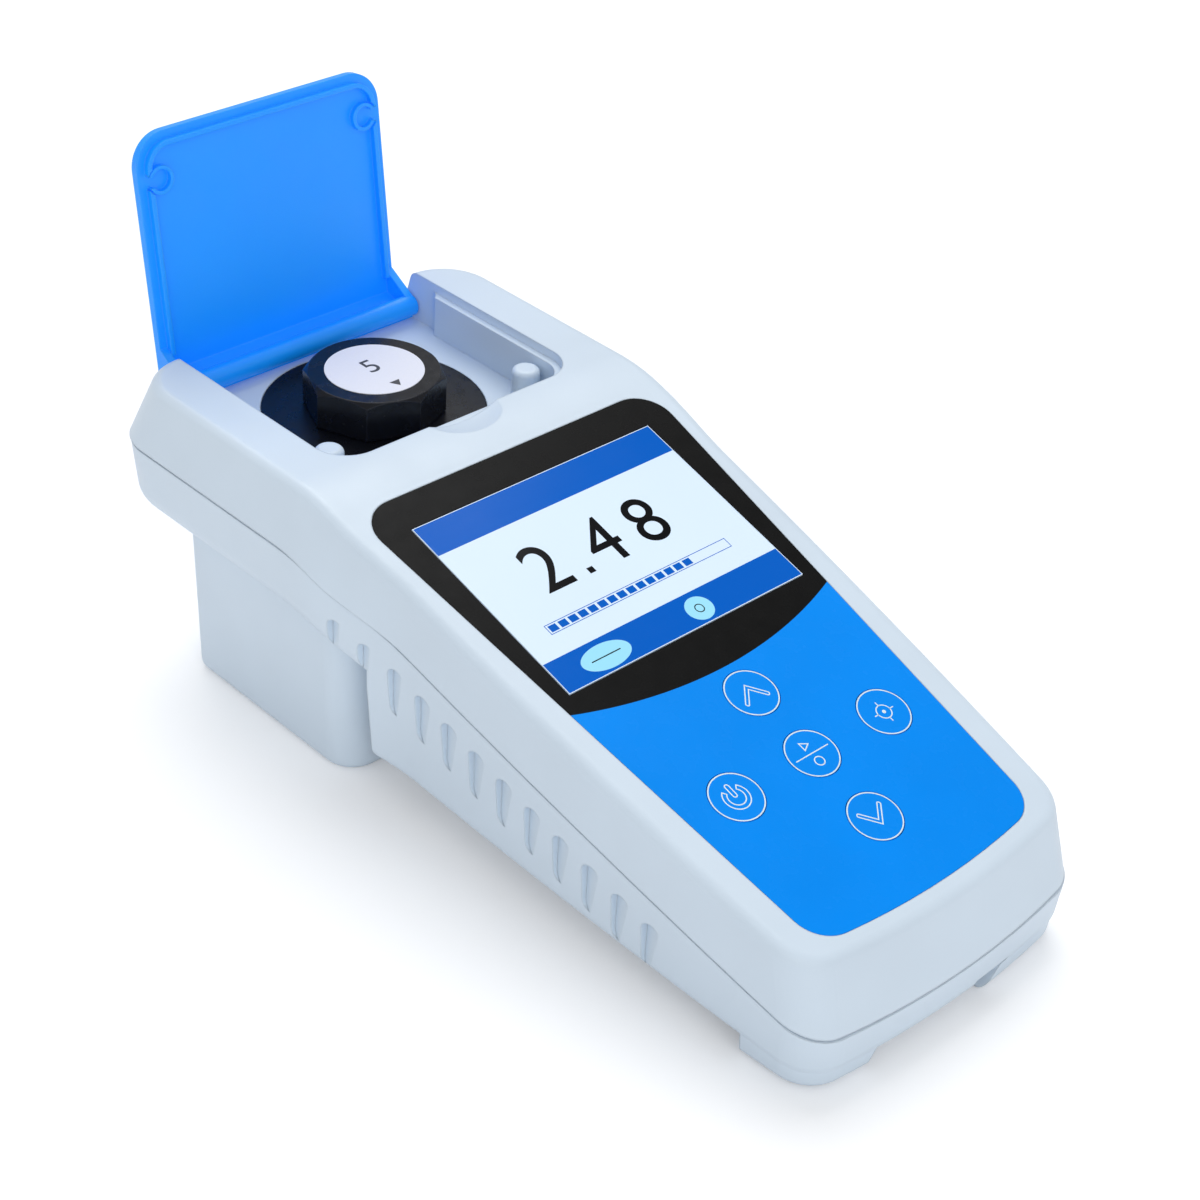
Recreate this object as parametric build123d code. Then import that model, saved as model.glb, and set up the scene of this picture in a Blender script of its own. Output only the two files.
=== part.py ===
from build123d import *
import os
from math import cos, radians, sin, sqrt, tan

# Portable turbidity meter. Millimetres, +Z up, +Y towards the lid's hinge.
# The origin is on the table, under the axis of the sample vial.

# Case
head_height = 66.0
head_width = 96.0
waist_width = 88.4
middle_width = 83.8
nose_width = 72.8
case_rear = 30.5
case_front = 172.1
face_bend = 35.2
face_angle = 16.0
bend_radius = 40.0
waist_start = 34.0
waist_end = 64.0
middle_at = 117.0
nose_at = 185.0
front_bow = 230.0
head_draft = 17.0
side_draft = 5.0
end_draft = 17.0
under_draft = 4.0
rear_corner = 13.0
front_corner = 9.0
top_round = 2.5
wall = 2.5
parting_depth = 13.5
seam = 0.3
tray_depth = 29.6
tray_round = 6.0
tray_overlap = 12.0

# Chamber block and battery bulge
chamber_width = 86.6
chamber_front = 44.5
chamber_rear = 24.0
chamber_back_width = 52.0
chamber_side_end = 8.0
chamber_corner = 8.0
chamber_draft = 1.2
base_round = 2.5
bulge_gap = 7.5
underside_front = 3.0
underside_angle = 3.6
foot_rise = 0.5
foot_setback = 0.4
foot_back = 152.0
left_foot_edge = 21.0
right_foot_edge = 10.0
notch_left = 6.0
notch_width = 9.7
notch_height = 3.2
notch_depth = 6.5
pad_radius = 4.5
pad_thickness = 1.4
pad_x = 29.0
pad_at = 160.0

# Grip grooves
groove_count = 12
groove_first = 42.5
groove_pitch = 7.75
groove_width = 4.6
groove_length = 12.0
groove_cut = 1.4
groove_depth = 26.0

# Sample well in the head
recess_width = 64.6
recess_front = 28.9
recess_corner = 8.0
ledge = 1.7
ledge_end = 16.0
floor_depth = 11.7
tub_wall = 1.6
scoop_radius = 9.3
scoop_depth = 2.0
scoop_setback = 27.5
post_x = 26.8
post_y = 18.5
post_radius = 3.1
post_round = 1.2
post_height = 8.5

# Lid
lid_clearance = 0.5
lid_thickness = 1.8
lid_corner = 7.6
hinge_y = 25.8
hinge_depth = 8.1
flange_lean = 26.0
flange_start = 23.8
barrel_radius = 2.4
cheek_front = 18.0
lip_inset = 1.9
lip_width = 1.0
lip_height = 1.5
boss_gap = 0.35
boss_fit = 0.1
boss_wall = 0.8
boss_mouth = 2.4
open_angle = 97.5
pin_radius = 1.0
pin_length = 8.5
pin_seat = 3.2
pin_clearance = 0.05

# Sample vial and its well
glass_radius = 12.4
glass_wall = 1.2
glass_bottom = 5.0
neck_radius = 10.4
neck_start = 49.0
neck_gap = 0.3
cap_radius = 15.4
cap_height = 8.8
cap_lift = 0.3
cap_wall = 1.5
cap_chamfer = 1.3
cap_sides = 8
liner_thickness = 1.0
label_radius = 10.7
label_thickness = 0.15
fill_level = 45.0
well_clearance = 0.5
well_wall = 2.2
collar_radius = 24.2
collar_thickness = 0.8
collar_spigot = 4.0
collar_fit = 0.15
beam_height = 22.0
barrel_outer = 5.6
barrel_bore = 4.0
barrel_length = 10.0
beam_radius = 2.0
lens_thickness = 1.5
lens_fit = 0.1
sensor_length = 7.0
sensor_board_size = 18.0
sensor_board_thickness = 1.6

# Face, display and keys
screen_at = 74.0
screen_width = 64.0
screen_height = 48.0
screen_fit = 0.2
film_thickness = 0.4
film_border = 8.4
film_bottom = 91.0
film_sag = 2.4
film_top_width = 79.8
film_bottom_width = 60.6
film_corner = 7.6
panel_margin = 1.0
panel_thickness = 2.2
carrier_margin = 1.4
carrier_wall = 3.0
key_radius = 5.7
key_fit = 0.15
key_thickness = 1.4
key_travel = 0.4
key_flange = 1.0
key_stem = 3.0
key_column = 20.5
key_rows = {"up": 41.7, "middle": 58.8, "down": 76.1}
board_depth = 9.0
board_thickness = 1.6
board_border = 9.0
board_bottom = 84.0
board_top_width = 68.0
board_boss_gap = 2.2
board_screw_inset = 3.5
standoff_radius = 2.6
switch_size = 6.0
switch_height = 2.0
switch_button = 1.7

# Battery bay
bay_at = 105.0
cell_radius = 7.25
cell_length = 50.5
cell_button = 1.0
button_radius = 2.6
cell_pitch = 15.2
cell_count = 4
tray_wall = 1.5
tray_clearance = 0.3
contact_thickness = 0.4
cover_thickness = 2.0
cover_ledge = 2.0
ledge_thickness = 1.5
cover_fit = 0.3
seal_width = 1.2
seal_height = 0.6
cover_gap = 0.1

# Case screws
screw_radius = 1.4
screw_head_radius = 2.8
screw_head = 2.0
screw_grip = 4.0
screw_bite = 6.0
screw_fit = 0.15
boss_radius = 3.4
screw_places = ((38.0, 19.0), (37.2, -58.5), (32.6, -146.0))

slope = radians(face_angle)
film_top = screen_height / 2 + film_border
board_top = screen_height / 2 + board_border
board_bottom_width = 2 * (screw_places[2][0] - boss_radius - board_boss_gap)
long_rear = 60.0
long_front = -200.0
far_side = 90.0


def bend_y(depth):
    """Where the head's level layer meets the sloped one, at this depth under the top."""
    return -face_bend + depth * tan(slope / 2)


def layer_z(y, depth):
    """Height of the layer at this depth under the top, with a sharp bend."""
    level = head_height - depth
    return min(level, level + (y - bend_y(depth)) * tan(slope))


def slab(upper, lower):
    """All that lies between two depths under the case's top, with its soft bend."""
    outline = Polygon(
        (long_rear, head_height - upper),
        (bend_y(upper), head_height - upper),
        (long_front, layer_z(long_front, upper)),
        (long_front, layer_z(long_front, lower)),
        (bend_y(lower), head_height - lower),
        (long_rear, head_height - lower),
        align=None,
    )
    for depth in (upper, lower):
        bend = Vector(bend_y(depth), head_height - depth)
        corner = outline.vertices().sort_by_distance(bend)[0]
        outline = fillet(corner, bend_radius)
    return extrude(Plane.YZ * outline, far_side, both=True)


def side_plan(z, upward, inset):
    """Plan of the case's two sides at height z; upward is 1 above the parting and -1 below."""
    def width(full, y, draft):
        rise = z - layer_z(y, parting_depth)
        return full / 2 - inset - upward * rise * tan(radians(draft))

    head = width(head_width, 0, head_draft if upward > 0 else under_draft)
    waist = width(waist_width, -waist_end, side_draft)
    middle = width(middle_width, -middle_at, side_draft)
    nose = width(nose_width, -nose_at, side_draft)
    grip = ThreePointArc((waist, -waist_end), (middle, -middle_at), (nose, -nose_at))
    neck = Spline((head, -waist_start), (waist, -waist_end), tangents=((0, -1), grip % 0))
    side = Curve() + [Line((head, long_rear), (head, -waist_start)), neck, grip]
    ends = [Line((-head, long_rear), (head, long_rear)), Line((-nose, -nose_at), (nose, -nose_at))]
    return Pos(0, 0, z) * make_face([*side.edges(), *mirror(side, Plane.YZ).edges(), *ends])


def end_plan(z, upward, inset):
    """Plan of the bowed front and the straight rear at height z, wider than the case."""
    lean = upward * tan(radians(end_draft if upward > 0 else under_draft))
    front = -case_front + inset + lean * (z - layer_z(-case_front, parting_depth))
    rear = case_rear - inset - lean * (z - layer_z(case_rear, parting_depth))
    bow = front_bow - sqrt(front_bow**2 - far_side**2)
    outline = [
        ThreePointArc((-far_side, front + bow), (0, front), (far_side, front + bow)),
        Line((far_side, front + bow), (far_side, rear)),
        Line((far_side, rear), (-far_side, rear)),
        Line((-far_side, rear), (-far_side, front + bow)),
    ]
    return Pos(0, 0, z) * make_face(outline)


def case_block(upward, inset=0.0):
    """The case's drafted walls with their rounded corners, tall enough to be cut to shape."""
    low, high = (0.0, 75.0) if upward > 0 else (-5.0, 60.0)
    sides = loft([side_plan(low, upward, inset), side_plan(high, upward, inset)], ruled=True)
    ends = loft([end_plan(low, upward, inset), end_plan(high, upward, inset)], ruled=True)
    block = sides & ends
    tall = block.edges().filter_by(lambda edge: edge.bounding_box().size.Z > high - low - 1)
    block = fillet(tall.filter_by(lambda edge: edge.center().Y > 10), rear_corner - inset)
    tall = block.edges().filter_by(lambda edge: edge.bounding_box().size.Z > high - low - 1)
    front = tall.filter_by(lambda edge: edge.center().Y < -case_front + 20)
    return fillet(front, front_corner - inset)


def face_plane(v=0.0, u=0.0, depth=0.0):
    """A plane on the sloped face: u across, v up the slope from the display's centre."""
    origin = (0, -screen_at, layer_z(-screen_at, 0))
    plane = Plane(origin=origin, x_dir=(1, 0, 0), z_dir=(0, -sin(slope), cos(slope)))
    return plane * Pos(u, v, -depth)


key_places = {
    "key_up": (0, -key_rows["up"]),
    "key_cal": (key_column, -key_rows["middle"]),
    "key_enter": (0, -key_rows["middle"]),
    "key_power": (-key_column, -key_rows["middle"]),
    "key_down": (0, -key_rows["down"]),
}


def film_outline(grow=0.0):
    """The printed film's outline, narrower at the front, with its bowed lower edge."""
    top, low = film_top_width / 2, film_bottom_width / 2
    outline = make_face([
        Line((-top, film_top), (top, film_top)),
        Line((top, film_top), (low, -film_bottom)),
        ThreePointArc((low, -film_bottom), (0, -film_bottom - film_sag), (-low, -film_bottom)),
        Line((-low, -film_bottom), (-top, film_top)),
    ])
    outline = fillet(outline.vertices(), film_corner)
    return offset(outline, grow) if grow else outline


def on_both_sides(piece):
    """The piece and its mirror image across the middle of the case."""
    return piece + mirror(piece, Plane.YZ)


case_upper = case_block(1)
case_lower = case_block(-1)
seam_half = seam / 2
floor_z = head_height - floor_depth
hinge_z = head_height - hinge_depth
hinge_axis = Axis((0, hinge_y, hinge_z), (1, 0, 0))
lid_inside = head_height - lid_thickness
underside_slope = tan(radians(underside_angle))
bulge_rear = -(chamber_front + bulge_gap)


def underside_z(y):
    """Height of the battery bulge's underside, which rises towards the chamber block."""
    return underside_front + (y + case_front) * underside_slope


bay_plane = Plane(
    origin=(0, -bay_at, underside_z(-bay_at)),
    x_dir=(1, 0, 0),
    z_dir=(0, -sin(radians(underside_angle)), cos(radians(underside_angle))),
)
bay_width = cell_count * cell_pitch + 2 * tray_clearance
bay_length = cell_length + 2 * (contact_thickness + tray_clearance)
bay_floor = cover_thickness + ledge_thickness


def bay_box(width, length, low, high):
    """A box in the battery bay, from low to high above the underside."""
    return bay_plane * Pos(0, 0, (low + high) / 2) * Box(width, length, high - low)


def recess(width_inset, low, high, front=recess_front, corner=recess_corner):
    """A pocket of the sample recess, open at the rear, with rounded front corners."""
    half = recess_width / 2 - width_inset
    start = -front + width_inset
    pocket = Pos(0, (start + long_rear) / 2, 0) * Rectangle(2 * half, long_rear - start)
    pocket = fillet(pocket.vertices().group_by(Axis.Y)[0], corner - width_inset)
    return extrude(Pos(0, 0, low) * pocket, high - low)


def standing(radius, low, high, x=0.0, y=0.0):
    """An upright cylinder from low to high."""
    return Pos(x, y, (low + high) / 2) * Cylinder(radius, high - low)


def make_top_shell():
    """Upper case: level head with the sample recess, and a sloped face for display and keys."""
    outer = case_upper & slab(0, parting_depth - seam_half)
    rim = outer.edges().filter_by(
        lambda edge: edge.center().Z > layer_z(edge.center().Y, 3.5)
    )
    shell = fillet(rim, top_round)
    shell -= case_block(1, wall) & slab(wall, 2 * parting_depth)

    tub_low = head_height - parting_depth + seam_half
    tub = recess(-tub_wall, tub_low, head_height - top_round)
    tub &= case_block(1, wall / 2)
    shell += tub
    shell -= recess(0, lid_inside - seam, 2 * head_height)
    shell -= recess(ledge, floor_z, 2 * head_height)
    shell -= recess(0, floor_z, 2 * head_height, front=-ledge_end, corner=2 * ledge)

    dish = (scoop_radius**2 + scoop_depth**2) / (2 * scoop_depth)
    shell -= Pos(0, -scoop_setback, head_height - scoop_depth + dish) * Sphere(dish)
    post = standing(post_radius, floor_z, floor_z + post_height, post_x, -post_y)
    post = fillet(post.edges().group_by(Axis.Z)[-1], post_round)
    shell += on_both_sides(post)

    shell -= standing(collar_radius + collar_fit, floor_z - collar_thickness, head_height)
    shell -= standing(collar_radius - 3, 0, head_height)
    pin_hole = recess_width / 2 + pin_seat
    shell -= Pos(0, hinge_y, hinge_z) * Rot(0, 90, 0) * Cylinder(pin_radius + 0.01, 2 * pin_hole)

    shell -= extrude(face_plane(depth=film_thickness) * film_outline(0.1), 2 * film_thickness)
    window = Rectangle(
        screen_width + 2 * (panel_margin + screen_fit), screen_height + 2 * (panel_margin + screen_fit)
    )
    shell -= extrude(face_plane() * window, wall, both=True)
    for u, v in key_places.values():
        shell -= face_plane(v, u) * Cylinder(key_radius + key_fit, 3 * wall)
    for u, v in board_screw_places:
        standoff = face_plane(v, u, (wall + board_depth) / 2) * Cylinder(standoff_radius, board_depth - wall)
        shell += standoff - face_plane(v, u, board_depth) * Cylinder(1.0, 10)

    for x, y in screw_places:
        foot = layer_z(y, parting_depth) + seam_half
        boss = on_both_sides(standing(boss_radius, foot, layer_z(y, wall / 2), x, y))
        shell += boss & case_block(1, wall / 2) & slab(wall / 2, parting_depth - seam_half)
        shell -= on_both_sides(standing(screw_radius + 0.05, 0, foot + screw_bite + 1, x, y))
    return shell


def chamber(inset=0.0):
    """The deep block under the head that holds the sample well, with its tapered back."""
    half, back = chamber_width / 2, chamber_back_width / 2
    outline = Polygon(
        (-half, -chamber_front), (half, -chamber_front), (half, chamber_side_end),
        (back, chamber_rear), (-back, chamber_rear), (-half, chamber_side_end),
        align=None,
    )
    outline = fillet(outline.vertices().group_by(Axis.Y)[0], chamber_corner)
    outline = fillet(outline.vertices().filter_by(lambda v: v.Y > 0), 5)
    if inset:
        outline = offset(outline, -inset)
    top = head_height - tray_depth + 4
    block = extrude(Pos(0, 0, top) * outline, inset - top, taper=chamber_draft)
    return fillet(block.edges().group_by(Axis.Z)[0], base_round - inset * 0.6)


def head_tray(inset=0.0):
    """The lower case under the head and behind the bulge, rounded in underneath."""
    tray = case_block(-1, inset) & slab(parting_depth + seam_half, tray_depth - inset)
    tray &= Pos(0, bulge_rear - tray_overlap + far_side, 0) * Box(2 * far_side, 2 * far_side, 2 * far_side)
    under = tray.edges().filter_by(
        lambda edge: abs(edge.center().Z - layer_z(edge.center().Y, tray_depth - inset)) < 0.6
        and edge.center().Y > bulge_rear - tray_overlap + 0.5
    )
    return fillet(under, tray_round - inset)


def bulge(inset=0.0):
    """The battery bulge under the face, with its rounded lower edges."""
    rear = bulge_rear - inset
    low = inset / cos(radians(underside_angle))
    outline = Polygon(
        (rear, underside_z(rear) + low), (rear, head_height),
        (long_front, head_height), (long_front, underside_z(long_front) + low),
        align=None,
    )
    body = case_block(-1, inset) & extrude(Plane.YZ * outline, far_side, both=True)
    edges = body.edges().filter_by(
        lambda edge: abs(edge.center().Z - underside_z(edge.center().Y) - low) < 0.8
    )
    body = fillet(edges, 3.5 - inset)
    return body & slab(parting_depth + seam_half, 2 * head_height)


def front_feet():
    """The two feet moulded into the front corners, with the strap notch beside the right one."""
    rise = underside_front + notch_height
    high = rise + 2 * wall
    left = Polygon(
        (-far_side, foot_rise), (-left_foot_edge - 1.5, foot_rise), (-left_foot_edge + 1, rise),
        (-left_foot_edge + 1, high), (-far_side, high), align=None,
    )
    right = Polygon(
        (right_foot_edge, foot_rise), (far_side, foot_rise), (far_side, high),
        (notch_left + notch_width, high), (notch_left + notch_width, rise), align=None,
    )
    length = nose_at - foot_back
    feet = extrude(Pos(0, -foot_back, 0) * (Plane.XZ * (left + right)), length)
    feet &= case_block(-1, foot_setback)
    outer = feet.edges().group_by(Axis.Z)[0].filter_by(lambda edge: abs(edge.center().X) > 25)
    outer = outer.filter_by(lambda edge: edge.center().Y < -foot_back - 2)
    return fillet(outer, 2.0)


def grooves():
    """Ramped grip grooves on both sides, just under the parting."""
    cuts = []
    for number in range(groove_count):
        y = -groove_first - number * groove_pitch
        z = layer_z(y, groove_depth)
        side = case_lower & Pos(0, y, z) * Box(2 * far_side, 0.1, 0.1)
        x = side.bounding_box().max.X
        slot = Plane.YZ * Pos(y - groove_width / 2, z) * SlotOverall(groove_length, groove_width, 90)
        wedge = Polygon((x + 1, y), (x - groove_cut, y), (x + 0.3, y - groove_width), (x + 1, y - groove_width), align=None)
        ramp = extrude(Pos(0, 0, z - groove_length) * wedge, 2 * groove_length)
        cuts.append(extrude(slot, far_side) & ramp)
    return on_both_sides(Part() + cuts)


def make_bottom_shell():
    """Lower case: chamber block, battery bulge, front feet, grip grooves and screw bosses."""
    solid = chamber() + head_tray() + bulge() + front_feet()
    notch_back = Box(notch_width + 8, notch_depth + 2 * wall, notch_height + 2 * wall)
    behind = Pos(notch_left + notch_width / 2, -case_front + notch_depth, underside_front + notch_height) * notch_back
    shell = solid
    for hollow in (chamber(wall), head_tray(wall), bulge(wall) - behind):
        shell -= hollow
    shell -= grooves()

    notch = Polygon(
        (notch_left, -1), (right_foot_edge, -1), (right_foot_edge, foot_rise),
        (notch_left + notch_width, underside_front + notch_height),
        (notch_left, underside_front + notch_height), align=None,
    )
    shell -= extrude(Pos(0, -case_front + notch_depth, 0) * (Plane.XZ * notch), 2 * notch_depth)

    for x, y in screw_places:
        top = layer_z(y, parting_depth) - seam_half
        seat = top - screw_grip
        outer = boss_radius + screw_fit + 1.2
        inside = head_tray(wall / 2) if y > bulge_rear else bulge(wall / 2)
        shell += on_both_sides(standing(outer, 0, top, x, y) & inside)
        shell -= on_both_sides(standing(screw_radius + screw_fit, 0, top + 1, x, y))
        shell -= on_both_sides(standing(screw_head_radius + screw_fit, -1, seat, x, y))

    plate_width, plate_length = bay_width + 2 * cover_ledge, bay_length + 2 * cover_ledge
    shell += bay_box(plate_width + 2 * wall, plate_length + 2 * wall, wall / 2, bay_floor)
    shell -= bay_box(bay_width - 2, bay_length - 2, -wall, 2 * bay_floor)
    shell -= bay_box(plate_width, plate_length, -wall, cover_thickness)
    for x in (-pad_x, pad_x):
        shell -= standing(pad_radius + 0.1, -1, pad_thickness, x, -pad_at)
    return shell


def make_gasket():
    """Cord seal that fills the seam between the two shells."""
    ring = case_block(1, 0.7) - case_block(1, wall - 0.4)
    return ring & slab(parting_depth - seam_half, parting_depth + seam_half)


def make_feet():
    """Two rubber pads let into the front feet."""
    return [standing(pad_radius, 0, pad_thickness, x, -pad_at) for x in (-pad_x, pad_x)]


def in_face(shape, depth, thickness, v=0.0, u=0.0):
    """A plate of this outline parallel to the face, its upper side at this depth."""
    return extrude(face_plane(v, u, depth) * shape, -thickness)


board_screw_places = [
    (side * (width / 2 - board_screw_inset), v)
    for width, v in (
        (board_top_width, board_top - board_screw_inset),
        (board_bottom_width, -board_bottom + board_screw_inset),
    )
    for side in (-1, 1)
]


def make_film():
    """Printed film with the display's opening and the key holes."""
    outline = film_outline() - Rectangle(screen_width + 2 * screen_fit, screen_height + 2 * screen_fit)
    for u, v in key_places.values():
        outline -= Pos(u, v) * Circle(key_radius + key_fit)
    return in_face(outline, 0, film_thickness)


def make_key(u, v):
    """A round key with the flange that keeps it in and the stem that works its switch."""
    key = in_face(Circle(key_radius), 0, wall + 0.4 + key_flange, v, u)
    key += in_face(Circle(key_radius + 0.9), wall + 0.3, key_flange, v, u)
    stem_end = board_depth - switch_height - 0.3 - key_travel - 0.1
    return key + in_face(Circle(key_stem), wall, stem_end - wall, v, u)


def make_board():
    """Main board under the face."""
    top, low = board_top_width / 2, board_bottom_width / 2
    outline = Polygon(
        (-low, -board_bottom), (low, -board_bottom), (top, board_top), (-top, board_top), align=None
    )
    outline = fillet(outline.vertices(), 2)
    for u, v in board_screw_places:
        outline -= Pos(u, v) * Circle(1.2)
    return in_face(outline, board_depth, board_thickness)


def make_switches():
    """Five press switches on the board, one under each key."""
    switches = []
    for u, v in key_places.values():
        body = in_face(Rectangle(switch_size, switch_size), board_depth - switch_height, switch_height, v, u)
        switches.append(body + in_face(Circle(switch_button), board_depth - switch_height - 0.3, 0.3, v, u))
    return switches


def make_board_screws():
    """Four small screws that hold the board to the top shell's standoffs."""
    screws = []
    for u, v in board_screw_places:
        head = in_face(Circle(1.9), board_depth + board_thickness, 1.2, v, u)
        screws.append(head + in_face(Circle(0.95), board_depth - 4, 4 + board_thickness + 0.5, v, u))
    return screws


def make_carrier():
    """Frame that holds the display between the face and the board."""
    width = screen_width + 2 * carrier_margin
    height = screen_height + 2 * carrier_margin
    frame = Rectangle(width, height) - Rectangle(width - 2 * carrier_wall, height - 2 * carrier_wall)
    depth = film_thickness + panel_thickness + 0.05
    return in_face(frame, depth, board_depth - depth)


def lid_profile():
    """Side profile of the closed lid: plate, rear flange and hinge barrel."""
    lean = radians(flange_lean)
    drop = (lid_inside - hinge_z) / cos(lean)
    foot = Vector(flange_start + drop * sin(lean), hinge_z)
    corner = flange_start + lid_thickness * tan((radians(90) - lean) / 2)
    front = -recess_front + lid_clearance
    outline = Polygon(
        (front, lid_inside), (flange_start, lid_inside), (foot.X, foot.Y),
        (foot.X + lid_thickness / cos(lean), foot.Y), (corner, head_height), (front, head_height),
        align=None,
    )
    return outline + Pos(hinge_y, hinge_z) * Circle(barrel_radius)


def make_lid():
    """Light cover, modelled shut and then turned back to where it stands open."""
    half = recess_width / 2 - lid_clearance
    front = -recess_front + lid_clearance
    lid = extrude(Plane.YZ * lid_profile(), half, both=True)
    plan = Pos(0, (front + long_rear) / 2) * Rectangle(2 * half, long_rear - front)
    plan = fillet(plan.vertices().group_by(Axis.Y)[0], lid_corner)
    lid &= extrude(plan, 2 * head_height)

    cheek = Polygon(
        (cheek_front, lid_inside + 0.5), (flange_start + 1, lid_inside + 0.5),
        (hinge_y + barrel_radius - 0.4, hinge_z), (hinge_y - barrel_radius + 0.4, hinge_z - 1),
        align=None,
    )
    plate = extrude(Plane.YZ * cheek, lid_thickness / 2, both=True)
    lid += on_both_sides(Pos(half - lid_thickness / 2, 0, 0) * plate)

    lip_plan = offset(plan, -lip_inset) - offset(plan, -lip_inset - lip_width)
    lip = extrude(Pos(0, 0, lid_inside - lip_height) * lip_plan, lip_height + 0.5)
    lid += lip & Pos(0, cheek_front - far_side + 2, 0) * Box(2 * far_side, 2 * far_side, 3 * head_height)

    around = standing(post_radius + boss_gap, floor_z, lid_inside, post_x, -post_y)
    lid -= on_both_sides(around)
    low = floor_z + post_height + boss_fit
    ring = Circle(post_radius) - Circle(post_radius - boss_wall)
    ring -= Pos(post_radius, 0) * Rectangle(3 * boss_wall, boss_mouth)
    lid += on_both_sides(extrude(Pos(post_x, -post_y, low) * ring, lid_inside + 0.5 - low))

    hole = Pos(half, hinge_y, hinge_z) * Rot(0, 90, 0) * Cylinder(pin_radius + pin_clearance, 2 * pin_length)
    lid -= on_both_sides(hole)
    return lid.rotate(hinge_axis, -open_angle)


def make_hinge_pins():
    """Two pins, held in the recess's side walls, that the lid's barrel turns on."""
    outer = recess_width / 2 + pin_seat
    middle = outer - (pin_length + pin_seat) / 2
    pin = Pos(middle, hinge_y, hinge_z) * Rot(0, 90, 0) * Cylinder(pin_radius, pin_length + pin_seat - 0.5)
    return [pin, mirror(pin, Plane.YZ)]


cap_low = floor_z + cap_lift
cap_top = cap_low + cap_height
liner_top = cap_top - cap_wall
neck_top = liner_top - liner_thickness
bore = glass_radius + well_clearance


def make_cap():
    """Eight-sided screw cap with its corners turned down at the top."""
    cap = extrude(Pos(0, 0, cap_low) * RegularPolygon(cap_radius, cap_sides), cap_height)
    cone_low = cap_radius + cap_chamfer
    crown = Pos(0, 0, cap_top - cone_low / 2) * Cone(cone_low * 2, cap_radius - cap_chamfer, cone_low)
    cap &= crown
    return cap - standing(neck_radius + neck_gap, 0, liner_top)


def make_glass():
    """Flat-bottomed sample vial with a neck for the cap."""
    outer = Polyline(
        (0, glass_bottom), (glass_radius, glass_bottom), (glass_radius, neck_start),
        (neck_radius, neck_start + 3), (neck_radius, neck_top - 0.05), (0, neck_top - 0.05), close=True,
    )
    inner = Polyline(
        (0, glass_bottom + 1.5 * glass_wall), (glass_radius - glass_wall, glass_bottom + 1.5 * glass_wall),
        (glass_radius - glass_wall, neck_start), (neck_radius - glass_wall, neck_start + 3),
        (neck_radius - glass_wall, neck_top + 1), (0, neck_top + 1), close=True,
    )
    profile = make_face(outer) - make_face(inner)
    return revolve(Plane.XZ * profile, Axis.Z)


def radial(angle, start, length, radius):
    """A cylinder that points away from the vial at the beam's height."""
    reach = Rot(0, 90, 0) * Pos(0, 0, start + length / 2) * Cylinder(radius, length)
    return Pos(0, 0, beam_height) * Rot(0, 0, angle) * reach


beam_angles = {"light_source": 0, "transmission_detector": 180, "scatter_detector": -90}
well_outer = bore + well_wall
seat_start = well_outer + 1


def make_well():
    """Dark tube for the vial, with a barrel for the light source and one for each detector."""
    top = floor_z - collar_thickness - collar_spigot
    well = standing(well_outer, wall, top)
    for angle in beam_angles.values():
        well += radial(angle, bore, seat_start - bore + barrel_length, barrel_outer)
    well -= standing(bore, glass_bottom - 0.3, top + 1)
    for angle in beam_angles.values():
        well -= radial(angle, 0, seat_start + 1, beam_radius)
        well -= radial(angle, seat_start, barrel_length + 1, barrel_bore)
    return well


def make_collar():
    """Black disc round the vial, let into the recess's floor, with a spigot over the well."""
    collar = standing(collar_radius, floor_z - collar_thickness, floor_z)
    collar += standing(well_outer + 2, floor_z - collar_thickness - collar_spigot - 2, floor_z - collar_thickness)
    collar -= standing(well_outer + 0.1, 0, floor_z - collar_thickness - collar_spigot)
    return collar - standing(bore, 0, head_height)


def make_sensor(angle):
    """Lamp or detector can in its barrel, with its flange against the barrel's end."""
    start = seat_start + lens_thickness + 0.5
    flange = seat_start + barrel_length
    can = radial(angle, start, flange - start, barrel_bore - lens_fit)
    return can + radial(angle, flange, 1, barrel_bore + 1)


def make_sensor_board(angle):
    """Small upright board behind a lamp or detector."""
    distance = seat_start + barrel_length + 1 + sensor_board_thickness / 2
    plate = Box(sensor_board_thickness, sensor_board_size, sensor_board_size)
    return Pos(0, 0, beam_height) * Rot(0, 0, angle) * Pos(distance, 0, 0) * plate


cell_axis = bay_floor + tray_clearance + cell_radius
cell_xs = [(number - (cell_count - 1) / 2) * cell_pitch for number in range(cell_count)]


def make_battery(x):
    """AA cell lying along the case, with its contact button."""
    body = Pos(0, -cell_button / 2, 0) * Rot(90, 0, 0) * Cylinder(cell_radius, cell_length - cell_button)
    button = Rot(90, 0, 0) * Cylinder(button_radius, cell_length)
    return bay_plane * Pos(x, 0, cell_axis) * (body + button)


def make_battery_tray():
    """Moulded tray over the cells, with a rib between each pair."""
    top = cell_axis + cell_radius + tray_clearance
    tray = bay_box(bay_width + 2 * tray_wall, bay_length + 2 * tray_wall, bay_floor, top + tray_wall)
    tray -= bay_box(bay_width, bay_length, 0, top)
    return tray


def make_contacts():
    """Sprung contact plates at both ends of the cells."""
    plates = []
    for x in cell_xs:
        for end in (-1, 1):
            y = end * (bay_length / 2 - contact_thickness / 2)
            plates.append(bay_plane * Pos(x, y, cell_axis) * Box(10, contact_thickness, 9))
    return plates


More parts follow.
